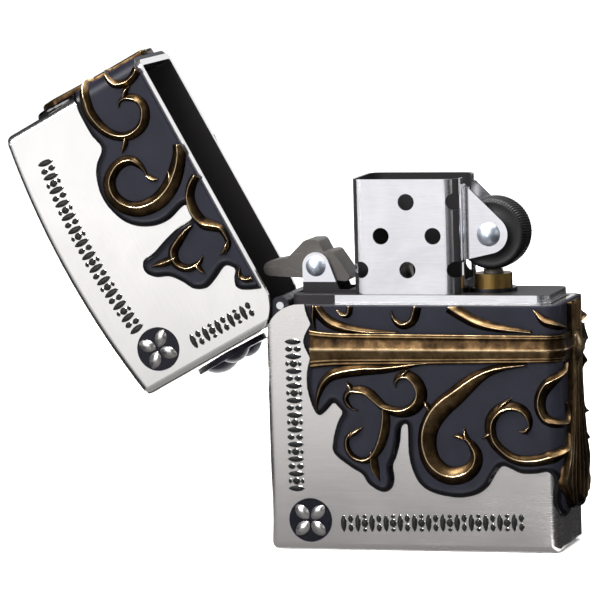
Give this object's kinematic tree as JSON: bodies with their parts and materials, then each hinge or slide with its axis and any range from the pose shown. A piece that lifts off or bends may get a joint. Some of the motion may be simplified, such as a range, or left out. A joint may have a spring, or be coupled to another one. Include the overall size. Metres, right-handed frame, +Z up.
{
  "type": "flip-top pocket lighter",
  "caption": "Flip-top windproof pocket lighter with a hinged lid, a perforated chimney, a striking wheel and a cast scroll ornament wrapped round the case.",
  "frame": {"origin": "middle of the flat base, on the surface it stands on", "axes": "+X from the hinge side to the free side, +Y from the front face to the back face, +Z up"},
  "size_m": [0.0756, 0.0164, 0.0654],
  "materials": {
    "plated_silver": "polished nickel silver plating with a fine brush",
    "black_plating": "black plated",
    "steel": "polished stainless steel",
    "rivet_steel": "polished domed steel",
    "dark_steel": "dark matte steel",
    "brass": "aged plain brass",
    "antique_brass": "antique brass, dark in the hollows and bright on the ridges",
    "black_enamel": "blue-black satin enamel on cast metal",
    "flint_metal": "matte flint",
    "cotton": "loose white cotton",
    "felt": "pressed white felt"
  },
  "bodies": {
    "case": {"case_body": "plated_silver", "hinge_leaf_case": "black_plating", "hinge_pin": "steel", "insert_shell": "steel", "insert_top_plate": "steel", "chimney": "steel", "wheel_rivet": "rivet_steel", "flint_tube": "brass", "tube_washer": "black_plating", "flint": "flint_metal", "flint_plunger": "brass", "flint_screw": "brass", "flint_spring": "steel", "cam_bracket": "steel", "cam_rivet": "rivet_steel", "cam_spring": "steel", "wick": "cotton", "cotton_packing": "cotton", "felt_pad": "felt", "case_ornament_plate": "black_enamel", "side_boss": "antique_brass", "crossbar_wrap": "antique_brass", "case_side_strap": "antique_brass", "case_scrollwork": "antique_brass", "case_medallions": "black_enamel"},
    "lid": {"case_lid": "plated_silver", "hinge_leaf_lid": "black_plating", "lid_ornament_plate": "black_enamel", "lid_hinge_ornament": "black_enamel", "lid_side_strap": "antique_brass", "lid_scrollwork": "antique_brass", "lid_medallions": "black_enamel"},
    "cam": {"cam_lever": "dark_steel"},
    "wheel": {"flint_wheel": "dark_steel"}
  },
  "joints": [
    {"name": "lid_hinge", "type": "hinge", "parent": "case", "child": "lid", "pos_m": [-0.0175, 0, 0.03193], "axis": [0, 1, 0], "range_deg": [0, 118.6]},
    {"name": "cam_pivot", "type": "hinge", "parent": "case", "child": "cam", "pos_m": [-0.0133, 0, 0.0368], "axis": [0, 1, 0], "range_deg": [0, 60.1]},
    {"name": "wheel_spin", "type": "hinge", "parent": "case", "child": "wheel", "pos_m": [0.00995, 0, 0.04095], "axis": [0, 1, 0], "continuous": true}
  ],
  "couplings": [
    {"joint": "cam_pivot", "follows": "lid_hinge", "ratio": 0.5059}
  ]
}
